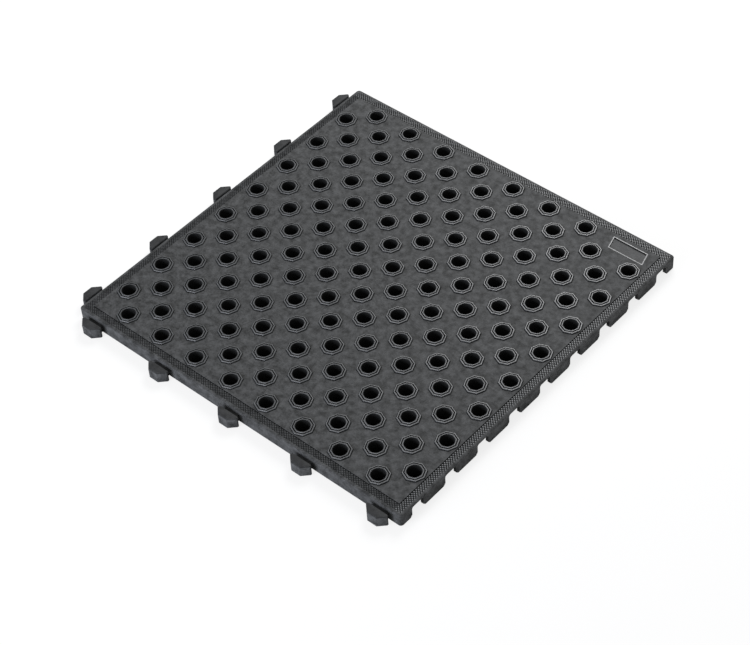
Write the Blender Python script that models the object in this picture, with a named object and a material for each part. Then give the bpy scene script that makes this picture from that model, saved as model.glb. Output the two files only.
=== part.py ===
"""Interlocking rubber anti-fatigue floor tile with octagonal drain collars.

One moulded body: a square slab with a field of drain holes, each in a raised
octagonal collar, a lower band around the field, octagonal pegs on low necks along
two edges and the sockets that take a neighbour's pegs along the other two.
Metres, Z up, standing on Z = 0, pegs towards -X and -Y, sockets at +X and +Y.
The origin is the middle of the whole footprint, pegs included.
"""

import math

import bmesh
import bpy
from mathutils import Matrix, Vector

# Lattice of the drain holes: a hole in each corner and centre of a square cell.
# The tile is as wide as its cells, so the lattice runs on across joined tiles.
CELLS = 9
CELL = 0.0556

# Heights above the floor
THICKNESS = 0.020
COLLAR_HEIGHT = 0.0018
SOCKET_HEIGHT = 0.0147
PEG_CLEARANCE_ABOVE = 0.0003

# Drain holes and their collars
HOLE_DIAMETER = 0.0176
HOLE_SIDES = 8
COLLAR_ACROSS_CORNERS = 0.0284

# Band between the hole field and the outer faces
BAND_WIDTH = 0.0125
BAND_STEP = 0.0007
BAND_FALL = 0.0004
EDGE_BREAK_WIDTH = 0.0026
EDGE_BREAK_HEIGHT = 0.0012
CORNER_RADIUS = 0.004

# Pegs on the -X and -Y edges, one to every second socket position
PEG_WIDTH = 0.030
PEG_REACH = 0.0163
PEG_DEPTH = 0.0118
PEG_CORNER = 0.0084
PEG_BREAK = 0.0008
PEG_SPACING_CELLS = 2

# Neck that carries a peg, low enough for the wall of the next tile to pass over it
NECK_WIDTH = 0.018
NECK_TOP = 0.0115
NECK_SEAT = 0.0062

# Sockets on the +X and +Y edges, one to each cell
MOUTH_WIDTH = 0.0186
MOUTH_FILLET = 0.0030
MOUTH_FLARE = 0.0032
POCKET_CLEARANCE = 0.0005

# Drain channels in the underside, one under each row of holes
CHANNEL_DEPTH = 0.003
CHANNEL_LEDGE = 0.0007

# Bare name panel beside the last hole row: a low frame round a shallow recess
PANEL_LENGTH = 0.050
PANEL_WIDTH = 0.0195
PANEL_SLANT = 0.0053
PANEL_HEIGHT = 0.0003
PANEL_SINK = 0.0014
PANEL_FRAME = 0.0013
PANEL_FROM_CORNER = 0.0485

# How far a cutter runs past the face it opens
PAST = 0.001

# Bevel profile that gives a circular arc
ROUND = 0.5

HALF_CELL = CELL / 2
SIDE = CELLS * CELL
HALF_SIDE = SIDE / 2
DECK_TOP = THICKNESS - COLLAR_HEIGHT
PEG_TOP = SOCKET_HEIGHT - PEG_CLEARANCE_ABOVE
FIELD_HALF = HALF_SIDE - HALF_CELL
NECK_LENGTH = PEG_REACH - PEG_DEPTH
MOUTH_DEPTH = NECK_LENGTH - POCKET_CLEARANCE


def clear_scene():
    """Remove the objects that the scene starts with."""
    for old in list(bpy.data.objects):
        bpy.data.objects.remove(old, do_unlink=True)


def collection(name):
    """Return a new collection of the scene."""
    made = bpy.data.collections.new(name)
    bpy.context.scene.collection.children.link(made)
    return made


def mesh_object(name, bm, home):
    """Turn a bmesh into an object in the given collection."""
    bmesh.ops.recalc_face_normals(bm, faces=bm.faces)
    mesh = bpy.data.meshes.new(name)
    bm.to_mesh(mesh)
    bm.free()
    made = bpy.data.objects.new(name, mesh)
    home.objects.link(made)
    return made


def add_box(bm, low, high):
    """Add a box between two corners and return its vertices."""
    size = Vector(high) - Vector(low)
    middle = (Vector(high) + Vector(low)) / 2
    matrix = Matrix.Translation(middle) @ Matrix.Diagonal(size.to_4d())
    return bmesh.ops.create_cube(bm, size=1.0, matrix=matrix)["verts"]


def add_prism(bm, sides, across, low, high, place):
    """Add an upright prism whose corners lie on a circle of the given diameter."""
    middle = Matrix.Translation((place[0], place[1], (low + high) / 2))
    bmesh.ops.create_cone(bm, cap_ends=True, segments=sides, radius1=across / 2,
                          radius2=across / 2, depth=high - low, matrix=middle)


def edges_along(verts, axis, test=None):
    """Return the edges of some vertices that run along an axis and pass a test."""
    found = {edge for vert in verts for edge in vert.link_edges}
    chosen = []
    for edge in found:
        run = edge.verts[1].co - edge.verts[0].co
        middle = (edge.verts[1].co + edge.verts[0].co) / 2
        if abs(run[axis]) > 0.999 * run.length and (test is None or test(middle)):
            chosen.append(edge)
    return chosen


def hole_places():
    """List the hole centres, leaving out the one that the name panel covers."""
    places = []
    for row in range(2 * CELLS - 1):
        for column in range(2 * CELLS - 1):
            under_panel = column == 2 * CELLS - 3 and row == 2 * CELLS - 2
            if (row + column) % 2 == 1 and not under_panel:
                x = column * HALF_CELL - FIELD_HALF
                y = row * HALF_CELL - FIELD_HALF
                places.append((x, y))
    return places


def socket_offsets():
    """List the socket centres along an edge, one to each cell."""
    return [index * CELL - FIELD_HALF for index in range(CELLS)]


def slab(home):
    """Make the slab: a square block whose top steps down to the edge band."""
    face_top = DECK_TOP - BAND_STEP - BAND_FALL - EDGE_BREAK_HEIGHT
    bm = bmesh.new()
    add_box(bm, (-HALF_SIDE, -HALF_SIDE, 0), (HALF_SIDE, HALF_SIDE, face_top))
    top = max(bm.faces, key=lambda face: face.calc_center_median().z)
    steps = (
        (EDGE_BREAK_WIDTH, EDGE_BREAK_HEIGHT),
        (BAND_WIDTH - EDGE_BREAK_WIDTH, BAND_FALL),
    )
    for inset, rise in steps:
        bmesh.ops.inset_region(bm, faces=[top], thickness=inset, use_even_offset=True)
        bmesh.ops.translate(bm, verts=top.verts, vec=(0, 0, rise))
    raised = bmesh.ops.extrude_face_region(bm, geom=[top])
    lifted = [item for item in raised["geom"] if isinstance(item, bmesh.types.BMVert)]
    bmesh.ops.translate(bm, verts=lifted, vec=(0, 0, BAND_STEP))
    bmesh.ops.delete(bm, geom=[top], context="FACES_ONLY")
    return mesh_object("mat_tile", bm, home)


def corner_rounding(home):
    """Make the upright block with round corners that trims the slab."""
    bm = bmesh.new()
    verts = add_box(bm, (-HALF_SIDE, -HALF_SIDE, -PAST),
                    (HALF_SIDE, HALF_SIDE, THICKNESS + PAST))
    bmesh.ops.bevel(bm, geom=edges_along(verts, 2), offset=CORNER_RADIUS,
                    segments=3, profile=ROUND, affect="EDGES")
    return mesh_object("corner_rounding", bm, home)


def collars(home):
    """Make the raised octagons around the holes."""
    bm = bmesh.new()
    for place in hole_places():
        add_prism(bm, 8, COLLAR_ACROSS_CORNERS, DECK_TOP / 2, THICKNESS, place)
    return mesh_object("collars", bm, home)


def holes(home):
    """Make the through cutters of the drain holes."""
    bm = bmesh.new()
    for place in hole_places():
        add_prism(bm, HOLE_SIDES, HOLE_DIAMETER, -PAST, THICKNESS + PAST, place)
    return mesh_object("holes", bm, home)


def panel_block(name, home, margin, low, high):
    """Make a block over the name panel, its short ends slanted as the panel's are."""
    bm = bmesh.new()
    centre = Vector((HALF_SIDE - PANEL_FROM_CORNER, FIELD_HALF))
    half = Vector((PANEL_LENGTH / 2 - margin, PANEL_WIDTH / 2 - margin))
    add_box(bm, (*(centre - half), low), (*(centre + half), high))
    for vert in bm.verts:
        vert.co.x -= PANEL_SLANT * (vert.co.y - centre.y) / PANEL_WIDTH
    return mesh_object(name, bm, home)


def panel_frame(home):
    """Make the low block that the frame is left of, long side along X."""
    return panel_block("panel_frame", home, 0, DECK_TOP / 2, DECK_TOP + PANEL_HEIGHT)


def panel_recess(home):
    """Make the cutter of the bare recess inside the frame."""
    floor = DECK_TOP + PANEL_HEIGHT - PANEL_SINK
    return panel_block("panel_recess", home, PANEL_FRAME, floor, THICKNESS + PAST)


def repeat(bm, places):
    """Put a copy of everything in a bmesh at each place, and drop the first one."""
    first = bm.verts[:] + bm.edges[:] + bm.faces[:]
    first_verts = bm.verts[:]
    for place in places:
        copied = bmesh.ops.duplicate(bm, geom=first)["geom"]
        verts = [item for item in copied if isinstance(item, bmesh.types.BMVert)]
        bmesh.ops.transform(bm, matrix=place, verts=verts)
    bmesh.ops.delete(bm, geom=first_verts, context="VERTS")


def peg_places():
    """List where a peg made at the middle of the -Y face goes, on -Y and on -X."""
    places = []
    for quarter in (0, -90):
        turn = Matrix.Rotation(math.radians(quarter), 4, "Z")
        for offset in socket_offsets()[::PEG_SPACING_CELLS]:
            places.append(turn @ Matrix.Translation((offset, 0, 0)))
    return places


def peg_necks(home):
    """Make the low necks, bedded in the -Y face and in the -X face."""
    bm = bmesh.new()
    add_box(bm, (-NECK_WIDTH / 2, -HALF_SIDE - NECK_LENGTH - PAST, 0),
            (NECK_WIDTH / 2, -HALF_SIDE + NECK_SEAT, NECK_TOP))
    repeat(bm, peg_places())
    return mesh_object("peg_necks", bm, home)


def pegs(home):
    """Make the pegs, octagons that stand clear of the faces on their necks."""
    bm = bmesh.new()
    rear = -HALF_SIDE - NECK_LENGTH
    add_box(bm, (-PEG_WIDTH / 2, -HALF_SIDE - PEG_REACH, 0), (PEG_WIDTH / 2, rear, PEG_TOP))
    for corner, at_rear in (((PEG_DEPTH - PEG_CORNER) / 2, True), (PEG_CORNER, False)):
        upright = edges_along(bm.verts, 2,
                              lambda middle: (middle.y > rear - PEG_DEPTH / 2) == at_rear)
        bmesh.ops.bevel(bm, geom=upright, offset=corner, segments=1, affect="EDGES")
    top = max(bm.faces, key=lambda face: face.calc_center_median().z)
    bmesh.ops.bevel(bm, geom=top.edges[:], offset=PEG_BREAK, segments=1, affect="EDGES")
    repeat(bm, peg_places())
    return mesh_object("pegs", bm, home)


def side_places(quarter):
    """List where a cutter made at the middle of the +X face goes along a side."""
    turn = Matrix.Rotation(math.radians(quarter), 4, "Z")
    return [turn @ Matrix.Translation((0, offset, 0)) for offset in socket_offsets()]


def socket_mouths(home, side, quarter):
    """Make the cutters of a side's socket mouths, filleted above and flared below."""
    bm = bmesh.new()
    verts = add_box(bm, (HALF_SIDE - MOUTH_DEPTH - PAST, -MOUTH_WIDTH / 2, -PAST),
                    (HALF_SIDE + PAST, MOUTH_WIDTH / 2, SOCKET_HEIGHT))
    upper = edges_along(verts, 0, lambda middle: middle.z > SOCKET_HEIGHT / 2)
    bmesh.ops.bevel(bm, geom=upper, offset=MOUTH_FILLET, segments=2,
                    profile=ROUND, affect="EDGES")
    bmesh.ops.bisect_plane(bm, geom=bm.verts[:] + bm.edges[:] + bm.faces[:],
                           plane_co=(0, 0, MOUTH_FLARE), plane_no=(0, 0, 1))
    for vert in bm.verts:
        if vert.co.z < 0:
            vert.co.y += math.copysign(MOUTH_FLARE + PAST, vert.co.y)
    repeat(bm, side_places(quarter))
    return mesh_object("socket_mouths_" + side, bm, home)


def socket_pockets(home, side, quarter):
    """Make the cutters of the wider pockets behind a side's mouths."""
    bm = bmesh.new()
    half_width = PEG_WIDTH / 2 + POCKET_CLEARANCE
    back = HALF_SIDE - PEG_REACH - POCKET_CLEARANCE
    front = HALF_SIDE - MOUTH_DEPTH
    verts = add_box(bm, (back, -half_width, -PAST), (front, half_width, SOCKET_HEIGHT))
    rear = edges_along(verts, 2, lambda middle: middle.x < (back + front) / 2)
    corner = min(PEG_CORNER, front - back - PAST)
    bmesh.ops.bevel(bm, geom=rear, offset=corner, segments=1, affect="EDGES")
    repeat(bm, side_places(quarter))
    return mesh_object("socket_pockets_" + side, bm, home)


def drain_channels(home):
    """Make the cutters of the shallow channels under the rows of holes."""
    bm = bmesh.new()
    half_width = HOLE_DIAMETER / 2 + CHANNEL_LEDGE
    into_pocket = HALF_SIDE - MOUTH_DEPTH - PAST
    for row in range(2 * CELLS - 1):
        y = row * HALF_CELL - FIELD_HALF
        end = into_pocket if row % 2 == 0 else FIELD_HALF + half_width
        add_box(bm, (-FIELD_HALF - half_width, y - half_width, -PAST),
                (end, y + half_width, CHANNEL_DEPTH))
    return mesh_object("drain_channels", bm, home)


def combine(target, operand, operation):
    """Add a Boolean modifier that keeps the operand as a hidden helper."""
    modifier = target.modifiers.new(operand.name, "BOOLEAN")
    modifier.operation = operation
    modifier.solver = "EXACT"
    modifier.object = operand
    operand.parent = target
    operand.hide_render = True
    operand.display_type = "WIRE"


def rubber():
    """Return the charcoal rubber material."""
    material = bpy.data.materials.new("black_rubber")
    material.use_nodes = True
    shader = material.node_tree.nodes["Principled BSDF"]
    shader.inputs["Base Color"].default_value = (0.035, 0.037, 0.040, 1.0)
    shader.inputs["Roughness"].default_value = 0.62
    shader.inputs["Metallic"].default_value = 0.0
    return material


def main():
    """Build the tile."""
    clear_scene()
    part = collection("anti_fatigue_mat_tile")
    helpers = collection("cutters")
    tile = slab(part)
    combine(tile, corner_rounding(helpers), "INTERSECT")
    combine(tile, collars(helpers), "UNION")
    combine(tile, panel_frame(helpers), "UNION")
    combine(tile, peg_necks(helpers), "UNION")
    combine(tile, pegs(helpers), "UNION")
    for side, quarter in (("x", 0), ("y", 90)):
        combine(tile, socket_mouths(helpers, side, quarter), "DIFFERENCE")
        combine(tile, socket_pockets(helpers, side, quarter), "DIFFERENCE")
    combine(tile, panel_recess(helpers), "DIFFERENCE")
    combine(tile, drain_channels(helpers), "DIFFERENCE")
    combine(tile, holes(helpers), "DIFFERENCE")
    tile.data.materials.append(rubber())
    tile.location = (PEG_REACH / 2, PEG_REACH / 2, 0)


main()
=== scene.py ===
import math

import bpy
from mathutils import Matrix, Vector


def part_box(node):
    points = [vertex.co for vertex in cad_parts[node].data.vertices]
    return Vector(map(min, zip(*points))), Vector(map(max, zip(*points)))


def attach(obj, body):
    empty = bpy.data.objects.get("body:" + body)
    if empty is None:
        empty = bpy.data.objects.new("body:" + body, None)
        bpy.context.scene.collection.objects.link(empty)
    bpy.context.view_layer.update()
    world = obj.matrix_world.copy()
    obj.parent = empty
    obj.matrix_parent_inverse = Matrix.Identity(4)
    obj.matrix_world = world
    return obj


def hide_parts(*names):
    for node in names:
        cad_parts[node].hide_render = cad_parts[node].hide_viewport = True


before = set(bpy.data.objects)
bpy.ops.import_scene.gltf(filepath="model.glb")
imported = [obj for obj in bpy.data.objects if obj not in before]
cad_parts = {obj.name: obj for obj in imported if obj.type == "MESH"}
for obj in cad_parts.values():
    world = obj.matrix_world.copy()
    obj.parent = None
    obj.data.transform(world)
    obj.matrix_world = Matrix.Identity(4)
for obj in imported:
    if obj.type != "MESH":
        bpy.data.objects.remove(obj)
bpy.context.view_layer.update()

# %% [markdown]
# This lesson dresses one rubber floor tile. Such a tile is moulded in one piece: a slab with
# round drain holes, a stepped octagonal collar round each hole, a knurled border band, pegs
# on two edges and sockets on the other two. The frame loaded above is its plain solid, whose
# sizes are kept. The box of that solid is measured first, because the finished piece has to
# stay inside it.

low, high = (Vector(corner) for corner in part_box("mat_tile"))
bpy.ops.object.select_all(action="DESELECT")
print("plain solid from", tuple(low), "to", tuple(high))

# %% [markdown]
# Everything lines up with the lattice of the holes, so its cell is the main driving size. The
# tile is nine cells wide. Holes sit at the corners and the middles of the cells, and the field
# that they fill ends half a cell inside the walls. The heights go down from the top of the
# collars: a collar stands on the deck in two stages, and the border band lies a step lower.
# The work is done with the middle of the square at the origin, and moved to its place at the
# end. PAST is how far a cutter runs past the face that it opens.

# %% Driving sizes, in metres
CELLS = 9
CELL = 0.0556
HALF_CELL = CELL / 2
SIDE = CELLS * CELL
HALF_SIDE = SIDE / 2
FIELD_HALF = HALF_SIDE - HALF_CELL

THICKNESS = high.z
OUTER_STAGE = 0.0014
INNER_STAGE = 0.0004
DECK_TOP = THICKNESS - OUTER_STAGE - INNER_STAGE
BAND_STEP = 0.0007
BAND_TOP = DECK_TOP - BAND_STEP
PEG_REACH = high.x - low.x - SIDE
MIDDLE = Vector((high.x - HALF_SIDE, high.y - HALF_SIDE, 0))
PAST = 0.001

print("tile side", round(SIDE * 1000, 1), "mm, deck at", round(DECK_TOP * 1000, 2), "mm")

# %% [markdown]
# Edit mode tools act on what is selected. Here faces and edges are picked in code by where
# they are and which way they point, so that each step can be read and repeated.

# %% Picking faces and edges
def nothing_selected():
    """Leave edit mode's selection empty, with the mesh back in object mode."""
    bpy.ops.object.mode_set(mode="EDIT")
    bpy.ops.mesh.select_all(action="DESELECT")
    bpy.ops.object.mode_set(mode="OBJECT")


def pick_faces(test):
    """Select the active mesh's faces whose centre and normal pass a test."""
    bpy.context.tool_settings.mesh_select_mode = (False, False, True)
    nothing_selected()
    for face in bpy.context.object.data.polygons:
        face.select = test(face.center, face.normal)
    bpy.ops.object.mode_set(mode="EDIT")


def pick_edges(test):
    """Select the active mesh's edges whose two ends pass a test."""
    bpy.context.tool_settings.mesh_select_mode = (False, True, False)
    nothing_selected()
    mesh = bpy.context.object.data
    for edge in mesh.edges:
        first, second = (mesh.vertices[index].co for index in edge.vertices)
        edge.select = test(first, second)
    bpy.ops.object.mode_set(mode="EDIT")


def leave_edit():
    """Go back to object mode and return the active object."""
    bpy.ops.object.mode_set(mode="OBJECT")
    return bpy.context.object


# %% [markdown]
# The Z of a face's normal tells which way the face looks: it is 1 on a level face that looks
# up, -1 on one that looks down, and 0 on an upright wall. The tests below leave a little room
# for rounding errors, and for walls that lean.

# %% Tests for faces and edges
ALIGNED = 0.99
LEANING = 0.3
UPRIGHT_SHARE = 0.9


def upright(first, second):
    """Tell whether an edge runs along Z."""
    return abs(first.z - second.z) > UPRIGHT_SHARE * (first - second).length


def facing_up(centre, normal):
    """Tell whether a face looks straight up."""
    return normal.z > ALIGNED


def facing_down(centre, normal):
    """Tell whether a face looks straight down."""
    return normal.z < -ALIGNED


def is_wall(centre, normal):
    """Tell whether a face stands upright, or nearly so."""
    return abs(normal.z) < LEANING


# %% [markdown]
# Most shapes here start as a block between two corners, which edit mode then changes. What
# repeats is modelled once and copied, each copy with its own mesh. Exact Booleans fuse the
# shapes to one closed mesh, and keep the finish of every face.

# %% Blocks and their places
def apply_place():
    """Move the selected objects' place, turn and scale into their meshes."""
    bpy.ops.object.transform_apply(location=True, rotation=True, scale=True)


def make_active(piece):
    """Select one object alone, and make it the one that operators act on."""
    bpy.ops.object.select_all(action="DESELECT")
    piece.select_set(True)
    bpy.context.view_layer.objects.active = piece


def add_block(name, corner, opposite):
    """Add a cube and size it to lie between two corners."""
    corner, opposite = Vector(corner), Vector(opposite)
    bpy.ops.mesh.primitive_cube_add(size=1, location=(corner + opposite) / 2)
    block = bpy.context.object
    block.name = name
    block.scale = opposite - corner
    apply_place()
    return block


# %% Copies and joins
def copy_to(master, name, places, turns=None):
    """Copy a mesh to each place, each copy with its own mesh, and join them."""
    copies = []
    for place, turn in zip(places, turns or [0] * len(places)):
        copy = master.copy()
        copy.data = master.data.copy()
        copy.location = place
        copy.rotation_euler.z = turn
        bpy.context.collection.objects.link(copy)
        copies.append(copy)
    bpy.data.objects.remove(master, do_unlink=True)
    make_active(copies[0])
    for copy in copies:
        copy.select_set(True)
    bpy.ops.object.join()
    joined = bpy.context.object
    joined.name = name
    apply_place()
    print(name, len(joined.data.polygons), "faces in", len(places), "copies")
    return joined


def combine(target, operand, operation):
    """Apply a Boolean between two meshes and remove the operand."""
    make_active(target)
    modifier = target.modifiers.new(operand.name, "BOOLEAN")
    modifier.operation = operation
    modifier.solver = "EXACT"
    modifier.object = operand
    bpy.ops.object.modifier_apply(modifier=modifier.name)
    bpy.data.objects.remove(operand, do_unlink=True)
    print(operation.lower(), "leaves", len(target.data.polygons), "faces")


# %% [markdown]
# The whole tile is black rubber from crumb and binder, pressed in a steel mould. Pressing
# leaves a dull skin with a fine leathery grain and cloudy patches of lighter and darker
# grey. Colours are written as hex values, as in any paint program, and one function turns
# them into the linear values that the shader needs.

# %% Colour and node helpers
def linear(colour):
    """Turn an sRGB hex colour into linear RGBA."""
    channels = (int(colour[place:place + 2], 16) / 255 for place in (1, 3, 5))
    return *(c / 12.92 if c <= 0.04045 else ((c + 0.055) / 1.055) ** 2.4 for c in channels), 1.0


def add_node(material, kind, inputs=None, **settings):
    """Add a node with its settings, and fill its inputs with values or links."""
    tree = material.node_tree
    node = tree.nodes.new(kind)
    for name, value in settings.items():
        setattr(node, name, value)
    for name, value in (inputs or {}).items():
        if isinstance(value, bpy.types.NodeSocket):
            tree.links.new(value, node.inputs[name])
        else:
            node.inputs[name].default_value = value
    return node


def new_material(name):
    """Make an empty node material, and return it."""
    material = bpy.data.materials.new(name)
    material.use_nodes = True
    material.node_tree.nodes.clear()
    return material


print("middle grey, #808080, is", round(linear("#808080")[0], 3), "in linear light")

# %% [markdown]
# Every finish on the tile is the same rubber, and differs in tone, gloss and grain, so one
# function makes them all. Two noise patterns mix to the cloudy grey: patches of 9 mm, where
# the crumb flowed unevenly, and specks of 2 mm, the size of the crumb. Noise stays close to
# its middle value, so the part of it near the middle is spread over the whole range from dark
# to light. The grain that the mould's blasted steel leaves is about half a millimetre wide on
# such a tile. That is too fine to show here, so it is drawn 1.3 mm wide. Object coordinates
# keep all three patterns on the rubber.

# %% Pressed rubber
MILLIMETRE = 0.001
CLOUD_SIZE = 9 * MILLIMETRE
SPECK_SIZE = 2.2 * MILLIMETRE
GRAIN_SIZE = 1.3 * MILLIMETRE
SPECK_SHARE = 0.35
TONE_REACH = 0.12
GLOSS_REACH = 0.08


def pressed_rubber(name, dark, light, roughness, shine, grain_depth):
    """Make dull pressed rubber: cloudy grey, fine specks and a leathery grain."""
    material = new_material(name)
    place = add_node(material, "ShaderNodeTexCoord").outputs["Object"]
    clouds = add_node(material, "ShaderNodeTexNoise",
                      {"Vector": place, "Scale": 1 / CLOUD_SIZE, "Detail": 5.0, "Roughness": 0.62})
    specks = add_node(material, "ShaderNodeTexNoise",
                      {"Vector": place, "Scale": 1 / SPECK_SIZE, "Detail": 3.0, "Roughness": 0.6})
    blend = add_node(material, "ShaderNodeMix",
                     {"Factor": SPECK_SHARE, "A": clouds.outputs["Fac"], "B": specks.outputs["Fac"]},
                     data_type="FLOAT")
    spread = add_node(material, "ShaderNodeMapRange",
                      {"Value": blend.outputs["Result"],
                       "From Min": 0.5 - TONE_REACH, "From Max": 0.5 + TONE_REACH})
    colour = add_node(material, "ShaderNodeMix", data_type="RGBA")
    material.node_tree.links.new(spread.outputs["Result"], colour.inputs["Factor"])
    colour.inputs["A"].default_value = linear(dark)
    colour.inputs["B"].default_value = linear(light)
    grain = add_node(material, "ShaderNodeTexNoise",
                     {"Vector": place, "Scale": 1 / GRAIN_SIZE, "Detail": 4.0, "Roughness": 0.7})
    gloss = add_node(material, "ShaderNodeMapRange",
                     {"Value": specks.outputs["Fac"], "From Min": 0.3, "From Max": 0.7,
                      "To Min": roughness - GLOSS_REACH, "To Max": roughness + GLOSS_REACH})
    bump = add_node(material, "ShaderNodeBump",
                    {"Height": grain.outputs["Fac"], "Strength": 1.0, "Distance": grain_depth})
    shader = add_node(material, "ShaderNodeBsdfPrincipled",
                      {"Base Color": colour.outputs["Result"], "Roughness": gloss.outputs["Result"],
                       "Normal": bump.outputs["Normal"], "Specular IOR Level": shine})
    add_node(material, "ShaderNodeOutputMaterial", {"Surface": shader.outputs["BSDF"]})
    return material


# %% [markdown]
# Seven finishes cover the tile. Each has its darkest and lightest tone, roughness, shine and
# depth of grain in metres. Creases, bores, peg tops and knurl flanks are painted darker, as
# painted shade. The knurl tops on two sides and the rims are painted lighter, as a painted
# highlight. Creases and bores hardly shine, because even a weak highlight would turn their black
# to grey.

# %% The finishes
# Skin off the blasted mould, dull and grained: a soft grey with no highlights.
rubber = pressed_rubber("pressed_black_rubber", "#232424", "#4c4d4e",
                        roughness=0.70, shine=0.25, grain_depth=0.00030)
# Rims, smoother than the deck and a little lighter: the lighter tone is a painted highlight, and the glint
# along the edge comes from the lamps.
rim_highlight_rubber = pressed_rubber("rim_rubber_painted_highlight", "#36383a", "#4a4c4e",
                            roughness=0.42, shine=0.65, grain_depth=0.00006)
# Creases, steps, moats and grooves: painted shade, almost black, with no sheen.
crease_shade_rubber = pressed_rubber("crease_rubber_painted_shade", "#0f1010", "#191a1a",
                               roughness=0.80, shine=0.08, grain_depth=0.00006)
# Walls of the holes: painted shade, dark and even.
bore_shade_rubber = pressed_rubber("bore_rubber_painted_shade", "#161717", "#1d1e1e",
                             roughness=0.80, shine=0.20, grain_depth=0.00004)
# Floor of the panel, pressed by a polished insert: flat and almost without grain.
plate_rubber = pressed_rubber("smooth_plate_rubber", "#303132", "#404142",
                              roughness=0.60, shine=0.25, grain_depth=0.00006)
# Tops of the pegs and the knurl flanks of the -X and -Y sides: painted shade, darker than the deck.
skin_shade_rubber = pressed_rubber("skin_rubber_painted_shade", "#1d1e1f", "#333435",
                             roughness=0.65, shine=0.25, grain_depth=0.00020)
# Tops of the knurling on the +X and +Y sides: a painted highlight, the lightest grey on the tile.
knurl_highlight_rubber = pressed_rubber("knurl_top_rubber_painted_highlight", "#4a4c4e", "#626466",
                              roughness=0.50, shine=0.50, grain_depth=0.00006)

FINISHES = (rubber, rim_highlight_rubber, crease_shade_rubber, bore_shade_rubber, plate_rubber, skin_shade_rubber, knurl_highlight_rubber)
PLAIN, RIM_HIGHLIGHT, CREASE_SHADE, BORE_SHADE, PLATE, SKIN_SHADE, KNURL_HIGHLIGHT = range(len(FINISHES))
print("materials:", [finish.name for finish in FINISHES])

# %% [markdown]
# A Boolean keeps a face's finish only by its slot number, so every mesh gets all the finishes
# in the same order, and a rule then picks one for each face by its place and direction.

# %% All finishes in the same order on every mesh
def give_finishes(piece, choose=lambda centre, normal: PLAIN):
    """Give a mesh every finish, and each face the one that a rule chooses for it."""
    piece.data.materials.clear()
    for finish in FINISHES:
        piece.data.materials.append(finish)
    for face in piece.data.polygons:
        face.material_index = choose(face.center, face.normal)


# %% [markdown]
# The slab comes first: a flat block whose upright corners are rounded and whose top edge
# rolls over softly onto the border band. The roll is a quarter of an ellipse, made by a few
# insets of the top face, each a little higher than the last. Two more insets, the second one
# downwards, leave a smooth lip and the shallow bed of the knurling.

# %% Slab with rolled edge
CORNER_RADIUS = 0.004
ROLL_WIDTH = 0.0030
ROLL_HEIGHT = 0.0014
ROLL_STEPS = 4
BAND_LIP = 0.0004
BAND_SINK = 0.0004

tile = add_block("rubber_tile", (-HALF_SIDE, -HALF_SIDE, 0),
                 (HALF_SIDE, HALF_SIDE, BAND_TOP - ROLL_HEIGHT))
pick_edges(upright)
bpy.ops.mesh.bevel(offset=CORNER_RADIUS, segments=6, affect="EDGES")
leave_edit()
pick_faces(facing_up)
for step in range(ROLL_STEPS):
    start, end = (math.pi / 2 * turn / ROLL_STEPS for turn in (step, step + 1))
    inward = ROLL_WIDTH * (math.cos(start) - math.cos(end))
    upward = ROLL_HEIGHT * (math.sin(end) - math.sin(start))
    bpy.ops.mesh.inset(thickness=inward, depth=upward)
bpy.ops.mesh.inset(thickness=BAND_LIP, depth=0)
bpy.ops.mesh.inset(thickness=BAND_LIP, depth=-BAND_SINK)
leave_edit()


def slab_finish(centre, normal):
    """Choose painted shade for the bed of the knurling, the face in the middle of the top."""
    return CREASE_SHADE if facing_up(centre, normal) and centre.length < HALF_CELL else PLAIN


give_finishes(tile, slab_finish)
print("slab:", len(tile.data.polygons), "faces")

# %% [markdown]
# The deck is the raised square inside the band. It is a plate sunk into the slab, with its
# upper rim broken by a narrow chamfer. The low step down to the band is painted dark, as
# painted shade.

# %% Deck plate
BAND_WIDTH = 0.0125
DECK_RIM = 0.0002
DECK_HALF = HALF_SIDE - BAND_WIDTH

deck = add_block("deck", (-DECK_HALF, -DECK_HALF, DECK_TOP / 2),
                 (DECK_HALF, DECK_HALF, DECK_TOP - DECK_RIM))
pick_faces(facing_up)
bpy.ops.mesh.inset(thickness=DECK_RIM, depth=DECK_RIM)
leave_edit()
give_finishes(deck, lambda centre, normal: CREASE_SHADE if is_wall(centre, normal) else PLAIN)
combine(tile, deck, "UNION")


# %% [markdown]
# Seventeen rows of holes, staggered like the five on a die, make the drain field. One place
# in the last row has no hole, because the name panel lies there. The places are worked out
# once and used for the collars and for the holes.

# %% Hole places
def hole_places():
    """List the hole centres, without the one under the panel."""
    last = 2 * CELLS - 2
    places = []
    for row in range(last + 1):
        for column in range(last + 1):
            under_panel = (column, row) == (last - 1, last)
            if (row + column) % 2 == 1 and not under_panel:
                places.append((column * HALF_CELL - FIELD_HALF, row * HALF_CELL - FIELD_HALF, 0))
    return places


print(len(hole_places()), "holes")

# %% [markdown]
# A collar is two low octagonal rings with a moat between them, the inner ring higher. It
# starts as a cylinder with eight sides. Insets of its top face make the outer wall, the outer
# ring with its chamfer, the moat, and the inner ring with its chamfer. The rings get a lighter
# rubber as a painted highlight, and the moat and the walls are painted dark as painted shade.
# The Z of the normal tells a ring from a wall: it is 0.71 on the chamfers, and 0.61 on the
# outer wall, which leans.

# %% Collar, modelled once
COLLAR_RADIUS = 0.0142
COLLAR_FOOT = DECK_TOP / 2
FOOT_LEAN = 0.0007
OUTER_RIM = 0.0005
OUTER_RING = 0.0009
RISER_LEAN = 0.0001
MOAT_WIDTH = 0.0012
MOAT_DEPTH = 0.0006
INNER_RIM = 0.0004
INNER_RING = 0.0006
RING_FLATNESS = 0.68

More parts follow.
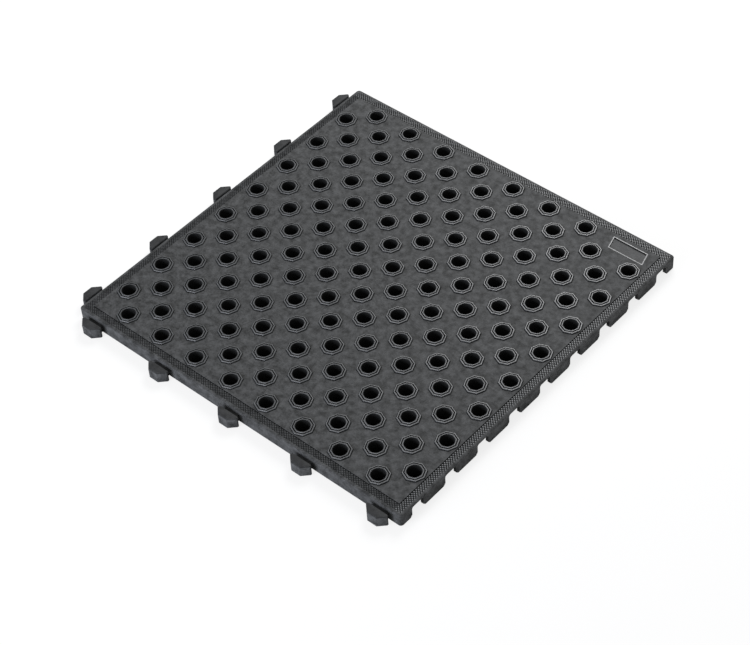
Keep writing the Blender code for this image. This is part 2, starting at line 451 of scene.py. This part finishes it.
collar_wall = DECK_TOP + OUTER_STAGE - OUTER_RIM
moat_floor = DECK_TOP + OUTER_STAGE - MOAT_DEPTH
bpy.ops.mesh.primitive_cylinder_add(vertices=8, radius=COLLAR_RADIUS + FOOT_LEAN,
                                    depth=DECK_TOP - COLLAR_FOOT,
                                    location=(0, 0, (DECK_TOP + COLLAR_FOOT) / 2))
apply_place()
pick_faces(facing_up)
for inward, upward in ((FOOT_LEAN, collar_wall - DECK_TOP), (OUTER_RIM, OUTER_RIM),
                       (OUTER_RING, 0), (RISER_LEAN, -MOAT_DEPTH),
                       (MOAT_WIDTH, 0), (RISER_LEAN, MOAT_DEPTH + INNER_STAGE - INNER_RIM),
                       (INNER_RIM, INNER_RIM), (INNER_RING, 0)):
    bpy.ops.mesh.inset(thickness=inward, depth=upward)
collar = leave_edit()


def ring_finish(centre, normal):
    """Choose the painted highlight for the rings, and painted shade for moat and walls."""
    in_moat = abs(centre.z - moat_floor) < RISER_LEAN
    if abs(normal.z) < RING_FLATNESS or in_moat:
        return CREASE_SHADE
    on_axis = math.hypot(centre.x, centre.y) < RISER_LEAN
    return PLAIN if on_axis else RIM_HIGHLIGHT


give_finishes(collar, ring_finish)
collars = copy_to(collar, "collars", hole_places())

# %% [markdown]
# The holes are round, with a slight lead-in at the top. A cylinder makes the cutter: its top
# is extruded and widened for the lead-in, and then carried straight up past the rubber.

# %% Hole cutter, modelled once
HOLE_RADIUS = 0.0088
HOLE_FACETS = 32
HOLE_LEAD_IN = 0.0003

lead_foot = THICKNESS - HOLE_LEAD_IN
bpy.ops.mesh.primitive_cylinder_add(vertices=HOLE_FACETS, radius=HOLE_RADIUS, depth=lead_foot + PAST,
                                    location=(0, 0, (lead_foot - PAST) / 2))
apply_place()
pick_faces(facing_up)
bpy.ops.mesh.extrude_region_move(TRANSFORM_OT_translate={"value": (0, 0, HOLE_LEAD_IN)})
widened = (HOLE_RADIUS + HOLE_LEAD_IN) / HOLE_RADIUS
bpy.ops.transform.resize(value=(widened, widened, 1))
bpy.ops.mesh.extrude_region_move(TRANSFORM_OT_translate={"value": (0, 0, PAST)})
hole = leave_edit()
# The walls of the holes are painted dark, as painted shade.
give_finishes(hole, lambda centre, normal: BORE_SHADE if is_wall(centre, normal) else PLAIN)
holes = copy_to(hole, "holes", hole_places())

# %% [markdown]
# Pegs stand out of two edges, one to every second cell. Seen from above a peg is an octagon
# that stands clear of the wall on a lower and narrower neck. The wall of the next tile fits
# in the gap behind it. Its upper rim is chamfered, so that it finds its way into the socket.
# The top of a peg and its chamfer are painted darker than the deck, as painted shade.

# %% Peg and neck of the -Y edge
PEG_WIDTH = 0.030
PEG_DEPTH = 0.0118
PEG_CORNER = 0.0084
PEG_TOP = 0.0144
PEG_BREAK = 0.0008
PEG_SOFT = 0.0003
PEG_TOP_FLATNESS = 0.5
NECK_WIDTH = 0.018
NECK_TOP = 0.0115
NECK_SEAT = 0.0062
NECK_LENGTH = PEG_REACH - PEG_DEPTH


def neck():
    """Model the neck of the middle peg."""
    return add_block("neck", (-NECK_WIDTH / 2, -HALF_SIDE - NECK_LENGTH - PAST, 0),
                     (NECK_WIDTH / 2, -HALF_SIDE + NECK_SEAT, NECK_TOP))


def peg():
    """Model the middle peg."""
    rear = -HALF_SIDE - NECK_LENGTH
    add_block("peg", (-PEG_WIDTH / 2, -HALF_SIDE - PEG_REACH, 0), (PEG_WIDTH / 2, rear, PEG_TOP))
    pick_edges(lambda first, second: upright(first, second) and first.y > rear - PAST)
    bpy.ops.mesh.bevel(offset=(PEG_DEPTH - PEG_CORNER) / 2, segments=1, affect="EDGES")
    leave_edit()
    pick_edges(lambda first, second: upright(first, second) and first.y < rear - PEG_DEPTH + PAST)
    bpy.ops.mesh.bevel(offset=PEG_CORNER, segments=1, affect="EDGES")
    leave_edit()
    pick_edges(lambda first, second: min(first.z, second.z) > PEG_TOP - PEG_SOFT)
    bpy.ops.mesh.bevel(offset=PEG_BREAK, segments=1, affect="EDGES")
    bpy.ops.mesh.select_all(action="SELECT")
    bpy.ops.mesh.bevel(offset=PEG_SOFT, segments=2, affect="EDGES")
    return leave_edit()


def peg_finish(centre, normal):
    """Choose painted shade for the top of a peg and its chamfer."""
    return SKIN_SHADE if normal.z > PEG_TOP_FLATNESS else PLAIN


# %% [markdown]
# Pegs and sockets are both made once, copied to the middles of the cells along their edge, and
# turned as a row to the other edge that has them.

# %% Rows along the edges
def cell_offsets(every=1):
    """List the middles of the cells along an edge."""
    return [index * CELL - FIELD_HALF for index in range(0, CELLS, every)]


def combine_row(piece, places, turn, operation):
    """Copy a piece to a row of places, turn the row about the middle, and combine it."""
    row = copy_to(piece, piece.name + "_row", places)
    row.rotation_euler.z = turn
    apply_place()
    combine(tile, row, operation)


for turn in (0, -math.pi / 2):
    for model in (neck, peg):
        piece = model()
        give_finishes(piece, peg_finish)
        combine_row(piece, [(offset, 0, 0) for offset in cell_offsets(every=2)], turn, "UNION")

# %% [markdown]
# The other two edges carry a socket in every cell: a mouth with rounded upper corners and
# flared lower ones, and behind it a pocket as wide as a peg. They are cut with blocks shaped
# like the hollow, the mouth first and then the pocket.

# %% Mouth and pocket of the +X edge
SOCKET_HEIGHT = 0.0147
MOUTH_WIDTH = 0.0186
MOUTH_FILLET = 0.0030
MOUTH_FLARE = 0.0032
POCKET_CLEARANCE = 0.0005
MOUTH_DEPTH = NECK_LENGTH - POCKET_CLEARANCE


def mouth():
    """Model the hollow of the middle socket's mouth."""
    add_block("mouth", (HALF_SIDE - MOUTH_DEPTH - PAST, -MOUTH_WIDTH / 2, MOUTH_FLARE),
              (HALF_SIDE + PAST, MOUTH_WIDTH / 2, SOCKET_HEIGHT))
    pick_edges(lambda first, second: abs(first.x - second.x) > PAST and first.z > MOUTH_FLARE)
    bpy.ops.mesh.bevel(offset=MOUTH_FILLET, segments=5, affect="EDGES")
    leave_edit()
    pick_faces(facing_down)
    drop = MOUTH_FLARE + PAST
    bpy.ops.mesh.extrude_region_move(TRANSFORM_OT_translate={"value": (0, 0, -drop)})
    bpy.ops.transform.resize(value=(1, (MOUTH_WIDTH / 2 + drop) / (MOUTH_WIDTH / 2), 1))
    return leave_edit()


def pocket():
    """Model the hollow of the middle socket's pocket, the outline of a peg with some room."""
    back = HALF_SIDE - PEG_REACH - POCKET_CLEARANCE
    front = HALF_SIDE - MOUTH_DEPTH
    half_width = PEG_WIDTH / 2 + POCKET_CLEARANCE
    add_block("pocket", (back, -half_width, -PAST), (front, half_width, SOCKET_HEIGHT))
    pick_edges(lambda first, second: upright(first, second) and first.x < (back + front) / 2)
    bpy.ops.mesh.bevel(offset=PEG_CORNER, segments=1, affect="EDGES")
    return leave_edit()


for turn in (0, math.pi / 2):
    for model in (mouth, pocket):
        hollow = model()
        give_finishes(hollow)
        combine_row(hollow, [(0, offset, 0) for offset in cell_offsets()], turn, "DIFFERENCE")

# %% [markdown]
# Water that falls through the holes runs off in shallow channels under each row. They are
# plain troughs, and they don't show from above. Those under the even rows run on into the
# pockets of the +X edge, and those under the odd rows end past their last hole.

# %% Drain channels
CHANNEL_DEPTH = 0.003
CHANNEL_LEDGE = 0.0007
CHANNEL_HALF = HOLE_RADIUS + CHANNEL_LEDGE

for first_row, end in ((0, HALF_SIDE - MOUTH_DEPTH - PAST), (1, FIELD_HALF + CHANNEL_HALF)):
    trough = add_block("trough", (-FIELD_HALF - CHANNEL_HALF, -CHANNEL_HALF, -PAST),
                       (end, CHANNEL_HALF, CHANNEL_DEPTH))
    give_finishes(trough)
    places = [(0, row * HALF_CELL - FIELD_HALF, 0) for row in range(first_row, 2 * CELLS - 1, 2)]
    combine(tile, copy_to(trough, "troughs", places), "DIFFERENCE")

# %% [markdown]
# In one corner lies the plate where makers put a name. Here it stays bare: a slanted frame
# round a shallow recess. What stands up is fused on first, the frame and all the collars. Then
# the hollows are cut, the recess and all the holes, which go through collar and slab alike.

# %% Panel, collars and holes
PANEL_LENGTH = 0.050
PANEL_WIDTH = 0.0195
PANEL_SLANT = 0.0053
PANEL_HEIGHT = 0.0003
PANEL_SINK = 0.0014
PANEL_FRAME = 0.0013
PANEL_FROM_CORNER = 0.0485


def panel_block(name, margin, foot, top):
    """Add a block over the panel and slant its short ends."""
    half_length = PANEL_LENGTH / 2 - margin
    half_width = PANEL_WIDTH / 2 - margin
    block = add_block(name, (-half_length, -half_width, foot), (half_length, half_width, top))
    for side in (1, -1):
        pick_faces(lambda centre, normal: normal.y * side > ALIGNED)
        shift = -side * PANEL_SLANT * half_width / PANEL_WIDTH
        bpy.ops.transform.translate(value=(shift, 0, 0))
        leave_edit()
    block.location = (HALF_SIDE - PANEL_FROM_CORNER, FIELD_HALF, 0)
    apply_place()
    return block


panel_top = DECK_TOP + PANEL_HEIGHT
panel_frame = panel_block("panel_frame", 0, DECK_TOP / 2, panel_top)
# The top of the frame gets the rims' lighter rubber as a painted highlight, and its sides painted shade.
give_finishes(panel_frame, lambda centre, normal: RIM_HIGHLIGHT if facing_up(centre, normal) else CREASE_SHADE)
combine(tile, panel_frame, "UNION")
combine(tile, collars, "UNION")
recess = panel_block("panel_recess", PANEL_FRAME, panel_top - PANEL_SINK, THICKNESS + PAST)
# The walls of the recess are painted dark, as painted shade.
give_finishes(recess, lambda centre, normal: CREASE_SHADE if is_wall(centre, normal) else PLATE)
combine(tile, recess, "DIFFERENCE")
combine(tile, holes, "DIFFERENCE")

# %% [markdown]
# The border band is knurled: two sets of grooves cross at right angles, both at 45 degrees to
# the edge, and leave small flat-topped pyramids. A grid turned by 45 degrees gives the
# diamonds, and one inset of each face by itself lifts all the pyramids at once. One strip
# is made, and trimmed at the mitres, the lip and the step of the deck.

# %% One side of the knurling
KNURL_PITCH = 0.0026
KNURL_HEIGHT = 0.00060
KNURL_FLANK = 0.00055
KNURL_GAP = 0.0006
KNURL_SEAT = 0.0002
KNURL_OUTER = HALF_SIDE - ROLL_WIDTH - BAND_LIP
KNURL_INNER = DECK_HALF + KNURL_GAP
KNURL_BASE = BAND_TOP - BAND_SINK - KNURL_SEAT


def off_the_strip(centre, normal):
    """Tell whether a face of the grid lies past the mitres or outside the band of the -Y side."""
    across = -centre.y
    too_near = across < KNURL_INNER - KNURL_PITCH
    too_far = across > KNURL_OUTER + KNURL_PITCH
    return abs(centre.x) > across or too_near or too_far


def knurl_strip():
    """Make the pyramids of the -Y side, up to the mitres."""
    cells = 2 * math.ceil(KNURL_OUTER * math.sqrt(2) / KNURL_PITCH)
    bpy.ops.mesh.primitive_grid_add(x_subdivisions=cells, y_subdivisions=cells,
                                    size=cells * KNURL_PITCH, location=(0, 0, KNURL_BASE),
                                    rotation=(0, 0, math.pi / 4))
    apply_place()
    pick_faces(off_the_strip)
    bpy.ops.mesh.delete(type="FACE")
    bpy.ops.mesh.select_all(action="SELECT")
    bpy.ops.mesh.inset(thickness=KNURL_FLANK, depth=KNURL_HEIGHT, use_individual=True)
    for reach, outward in ((KNURL_OUTER, -1), (KNURL_INNER, 1)):
        bpy.ops.mesh.select_all(action="SELECT")
        bpy.ops.mesh.bisect(plane_co=(0, -reach, 0), plane_no=(0, outward, 0), clear_outer=True)
    return leave_edit()


# %% [markdown]
# The strip is copied to the four sides, welded at the mitres, and given a flat underside that
# is sunk into the bed. On the +X and +Y sides the tops are painted lighter as a painted
# highlight, and the flanks almost black as painted shade. On the other two sides the tops keep
# the tone of the deck, and the flanks are painted darker as painted shade.

# %% Knurling of all four sides
KNURL_ROOT = 0.0008
KNURL_WELD = 0.00005


def knurl_finish(centre, normal):
    """Choose painted highlight on the tops and painted shade on the flanks, stronger on the +X and +Y
    edges.
    """
    lit_side = max(centre.x, centre.y) > KNURL_INNER
    if facing_up(centre, normal):
        return KNURL_HIGHLIGHT if lit_side else PLAIN
    return CREASE_SHADE if lit_side else SKIN_SHADE


quarter_turns = [quarter * math.pi / 2 for quarter in range(4)]
knurling = copy_to(knurl_strip(), "knurl", [(0, 0, 0)] * 4, quarter_turns)
bpy.ops.object.mode_set(mode="EDIT")
bpy.ops.mesh.select_all(action="SELECT")
bpy.ops.mesh.remove_doubles(threshold=KNURL_WELD)
bpy.ops.mesh.extrude_region_move(TRANSFORM_OT_translate={"value": (0, 0, -KNURL_ROOT)})
bpy.ops.transform.resize(value=(1, 1, 0))
bpy.ops.mesh.select_all(action="SELECT")
bpy.ops.mesh.normals_make_consistent(inside=False)
leave_edit()
give_finishes(knurling, knurl_finish)
combine(tile, knurling, "UNION")

# %% [markdown]
# The tile is whole now. Where cuts met almost at a point, the Booleans left corners closer
# together than a thousandth of a millimetre, and these are merged. Then the mesh is shaded
# smooth, except across edges sharper than the roll and the fillets, and moved from the origin
# to the place of the plain solid. The move is applied to the mesh, so that the object itself
# stays at the origin.

# %% Merged corners, smooth shading and final place
MERGE_DISTANCE = 0.001 * MILLIMETRE
SHARP_ANGLE = math.radians(28)

make_active(tile)
bpy.ops.object.mode_set(mode="EDIT")
bpy.ops.mesh.select_all(action="SELECT")
bpy.ops.mesh.remove_doubles(threshold=MERGE_DISTANCE)
leave_edit()
bpy.ops.object.shade_smooth_by_angle(angle=SHARP_ANGLE)
tile.location = MIDDLE
apply_place()
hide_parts("mat_tile")
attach(tile, "root")
triangles = sum(len(face.vertices) - 2 for face in tile.data.polygons)
print("tile:", len(tile.data.polygons), "faces,", triangles, "triangles")

# %% [markdown]
# The tile lies on a plain white floor. The camera sees it as white paper that is partly bright
# by itself, which the Light Path node allows without more light on the rubber, and the lit
# part still takes the tile's shadow. Under the tile the floor is painted almost black as
# painted shade, and is not bright by itself, so that no white shows through the holes.

# %% Floor
FLOOR_SIZE = 12.0
PAPER_SHARE = 0.8
PAINTED_SHADE_MARGIN = 0.011
PAINTED_SHADE_HALF = FIELD_HALF + PAINTED_SHADE_MARGIN


def paper_white_with_painted_shade():
    """Make white paper, part lit and part self-bright, and painted almost black under the tile as painted
    shade.
    """
    material = new_material("white_paper_floor_with_painted_shade")
    place = add_node(material, "ShaderNodeTexCoord").outputs["Object"]
    from_middle = add_node(material, "ShaderNodeVectorMath", {0: place, 1: MIDDLE}, operation="SUBTRACT")
    distance = add_node(material, "ShaderNodeVectorMath", {0: from_middle.outputs["Vector"]},
                        operation="ABSOLUTE")
    axes = add_node(material, "ShaderNodeSeparateXYZ", {"Vector": distance.outputs["Vector"]})
    furthest = add_node(material, "ShaderNodeMath", {0: axes.outputs["X"], 1: axes.outputs["Y"]},
                        operation="MAXIMUM")
    outside = add_node(material, "ShaderNodeMath", {0: furthest.outputs["Value"], 1: PAINTED_SHADE_HALF},
                       operation="GREATER_THAN")
    colour = add_node(material, "ShaderNodeMix", {"Factor": outside.outputs["Value"]}, data_type="RGBA")
    # Painted shade: the floor under the tile is almost black.
    colour.inputs["A"].default_value = linear("#141414")
    colour.inputs["B"].default_value = linear("#f4f4f4")
    lit = add_node(material, "ShaderNodeBsdfDiffuse", {"Color": colour.outputs["Result"]})
    paper = add_node(material, "ShaderNodeEmission", {"Color": linear("#ffffff"), "Strength": 1.0})
    rays = add_node(material, "ShaderNodeLightPath")
    seen = add_node(material, "ShaderNodeMath",
                    {0: rays.outputs["Is Camera Ray"], 1: outside.outputs["Value"]}, operation="MULTIPLY")
    share = add_node(material, "ShaderNodeMath", {0: seen.outputs["Value"], 1: PAPER_SHARE},
                     operation="MULTIPLY")
    mixed = add_node(material, "ShaderNodeMixShader",
                     {"Fac": share.outputs["Value"], 1: lit.outputs["BSDF"], 2: paper.outputs["Emission"]})
    add_node(material, "ShaderNodeOutputMaterial", {"Surface": mixed.outputs["Shader"]})
    return material


bpy.ops.mesh.primitive_plane_add(size=FLOOR_SIZE, location=(0, 0, 0))
floor = bpy.context.object
floor.name = "floor"
floor.data.materials.append(paper_white_with_painted_shade())
print("floor", FLOOR_SIZE, "m wide")

# %% [markdown]
# The world is an even white dome. The camera sees it at full white, and it lights the tile at
# less than half of that.

# %% World
WORLD_LIGHT = 0.46

world = bpy.data.worlds.new("studio")
bpy.context.scene.world = world
world.use_nodes = True
world.node_tree.nodes.clear()
rays = add_node(world, "ShaderNodeLightPath")
level = add_node(world, "ShaderNodeMapRange",
                 {"Value": rays.outputs["Is Camera Ray"], "To Min": WORLD_LIGHT, "To Max": 1.0})
sky = add_node(world, "ShaderNodeBackground",
               {"Color": linear("#ffffff"), "Strength": level.outputs["Result"]})
add_node(world, "ShaderNodeOutputWorld", {"Surface": sky.outputs["Background"]})
print("world lights at", WORLD_LIGHT)

# %% [markdown]
# Studio light: one large soft box high behind the tile, whose light glances off the rims of
# the collars towards the camera, and a low, slightly blue one in front on the left, which
# lights the wall with the pegs. The world lights the rest evenly.

# %% Lamps
def add_softbox(name, place, aim, size, power):
    """Add a square area lamp at a place, aimed at a point."""
    bpy.ops.object.light_add(type="AREA", location=place)
    lamp = bpy.context.object
    lamp.name = name
    lamp.data.size = size
    lamp.data.energy = power
    lamp.rotation_euler = (Vector(aim) - Vector(place)).to_track_quat("-Z", "Y").to_euler()
    return lamp


add_softbox("softbox_behind", place=(-0.45, 1.4, 1.4), aim=(0.1, 0.1, 0), size=0.9, power=35)
fill = add_softbox("softbox_front_left", place=(-0.4, -2.2, 0.6), aim=(0, 0, 0), size=1.2, power=54)
fill.data.color = linear("#f0f4ff")[:3]

# %% [markdown]
# The camera stands where the photographer stood: looking down at the middle of the tile from
# a little over two metres away, along its diagonal, through a long lens.

# %% Camera and view
CAMERA_PLACE = (1.1961, -1.2220, 1.7448)
CAMERA_TURN = (43.499, 3.014, 41.054)
SENSOR_WIDTH = 36.0
LENS = 98.62

bpy.ops.object.camera_add(location=CAMERA_PLACE,
                          rotation=[math.radians(angle) for angle in CAMERA_TURN])
camera = bpy.context.object
camera.name = "camera"
camera.data.sensor_width = SENSOR_WIDTH
camera.data.lens = LENS
bpy.context.scene.camera = camera
bpy.context.scene.view_settings.view_transform = "Standard"
print("camera at", CAMERA_PLACE, "with a", LENS, "mm lens")
